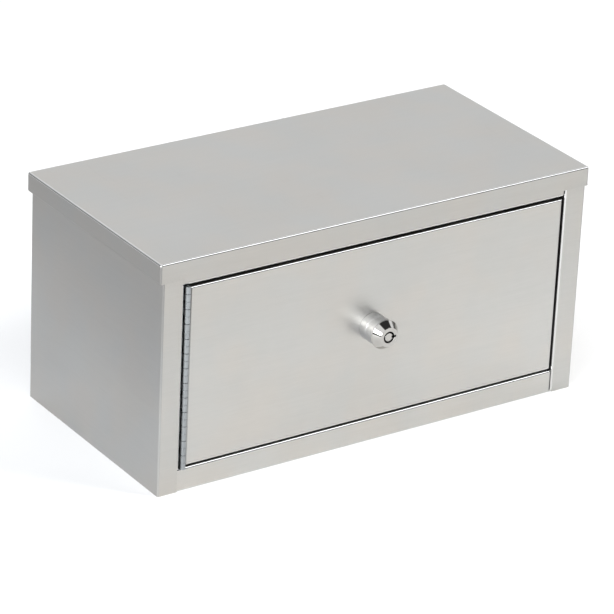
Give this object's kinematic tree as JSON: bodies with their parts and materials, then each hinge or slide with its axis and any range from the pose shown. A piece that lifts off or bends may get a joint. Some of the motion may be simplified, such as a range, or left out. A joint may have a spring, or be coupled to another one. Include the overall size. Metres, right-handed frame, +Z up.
{
  "type": "locking counter cash box",
  "caption": "Brushed stainless steel counter box with a hemmed overhanging cover and an inset side-hinged front door, held shut by a projecting tubular key lock.",
  "frame": {"origin": "middle of the underside, on the surface the box stands on", "axes": "+X along the front towards the lock side of the door, +Y from the front to the back, +Z up"},
  "size_m": [0.4064, 0.2275, 0.1985],
  "materials": {
    "stainless_sheet": "satin, fine straight grain",
    "hinge_steel": "satin, mill finish",
    "rivet_steel": "semi-bright",
    "collar_steel": "satin, turned",
    "lock_chrome": "bright plated",
    "zinc_plated_steel": "zinc plated, semi-matt",
    "tumbler_brass": "plain turned",
    "spring_steel": "plain drawn wire",
    "pad_rubber": "matt"
  },
  "bodies": {
    "cabinet": {"top_cover": "stainless_sheet", "left_side_panel": "stainless_sheet", "right_side_panel": "stainless_sheet", "back_panel": "stainless_sheet", "bottom_panel": "stainless_sheet", "hinge_jamb": "stainless_sheet", "hinge_frame_leaf": "hinge_steel", "hinge_pin": "hinge_steel", "hinge_frame_rivets": "rivet_steel", "door_stops": "stainless_sheet", "door_pads": "pad_rubber"},
    "door": {"door_panel": "stainless_sheet", "hinge_door_leaf": "hinge_steel", "hinge_door_rivets": "rivet_steel", "lock_backing_plate": "stainless_sheet", "lock_collar_rear": "collar_steel", "lock_collar_front": "collar_steel", "lock_housing": "lock_chrome", "lock_washer": "zinc_plated_steel", "lock_nut": "zinc_plated_steel"},
    "lock_plug": {"lock_spindle": "lock_chrome", "tumbler_springs": "spring_steel", "stop_washer": "zinc_plated_steel", "lock_cam": "zinc_plated_steel", "cam_washer": "zinc_plated_steel", "cam_screw": "zinc_plated_steel"},
    "tumblers": {"tumbler_pins": "tumbler_brass"}
  },
  "joints": [
    {"name": "door_swing", "type": "hinge", "parent": "cabinet", "child": "door", "pos_m": [-0.1785, -0.1019, 0.097], "axis": [0, 0, -1], "range_deg": [0, 170]},
    {"name": "lock_turn", "type": "hinge", "parent": "door", "child": "lock_plug", "pos_m": [-0.005, -0.1259, 0.1032], "axis": [0, -1, 0], "range_deg": [0, 90]},
    {"name": "tumbler_press", "type": "slide", "parent": "lock_plug", "child": "tumblers", "axis": [0, 1, 0], "range_m": [0, 0.0015], "stiffness_N_per_m": 300, "springref_m": -0.002, "deforming": ["tumbler_springs"]}
  ]
}
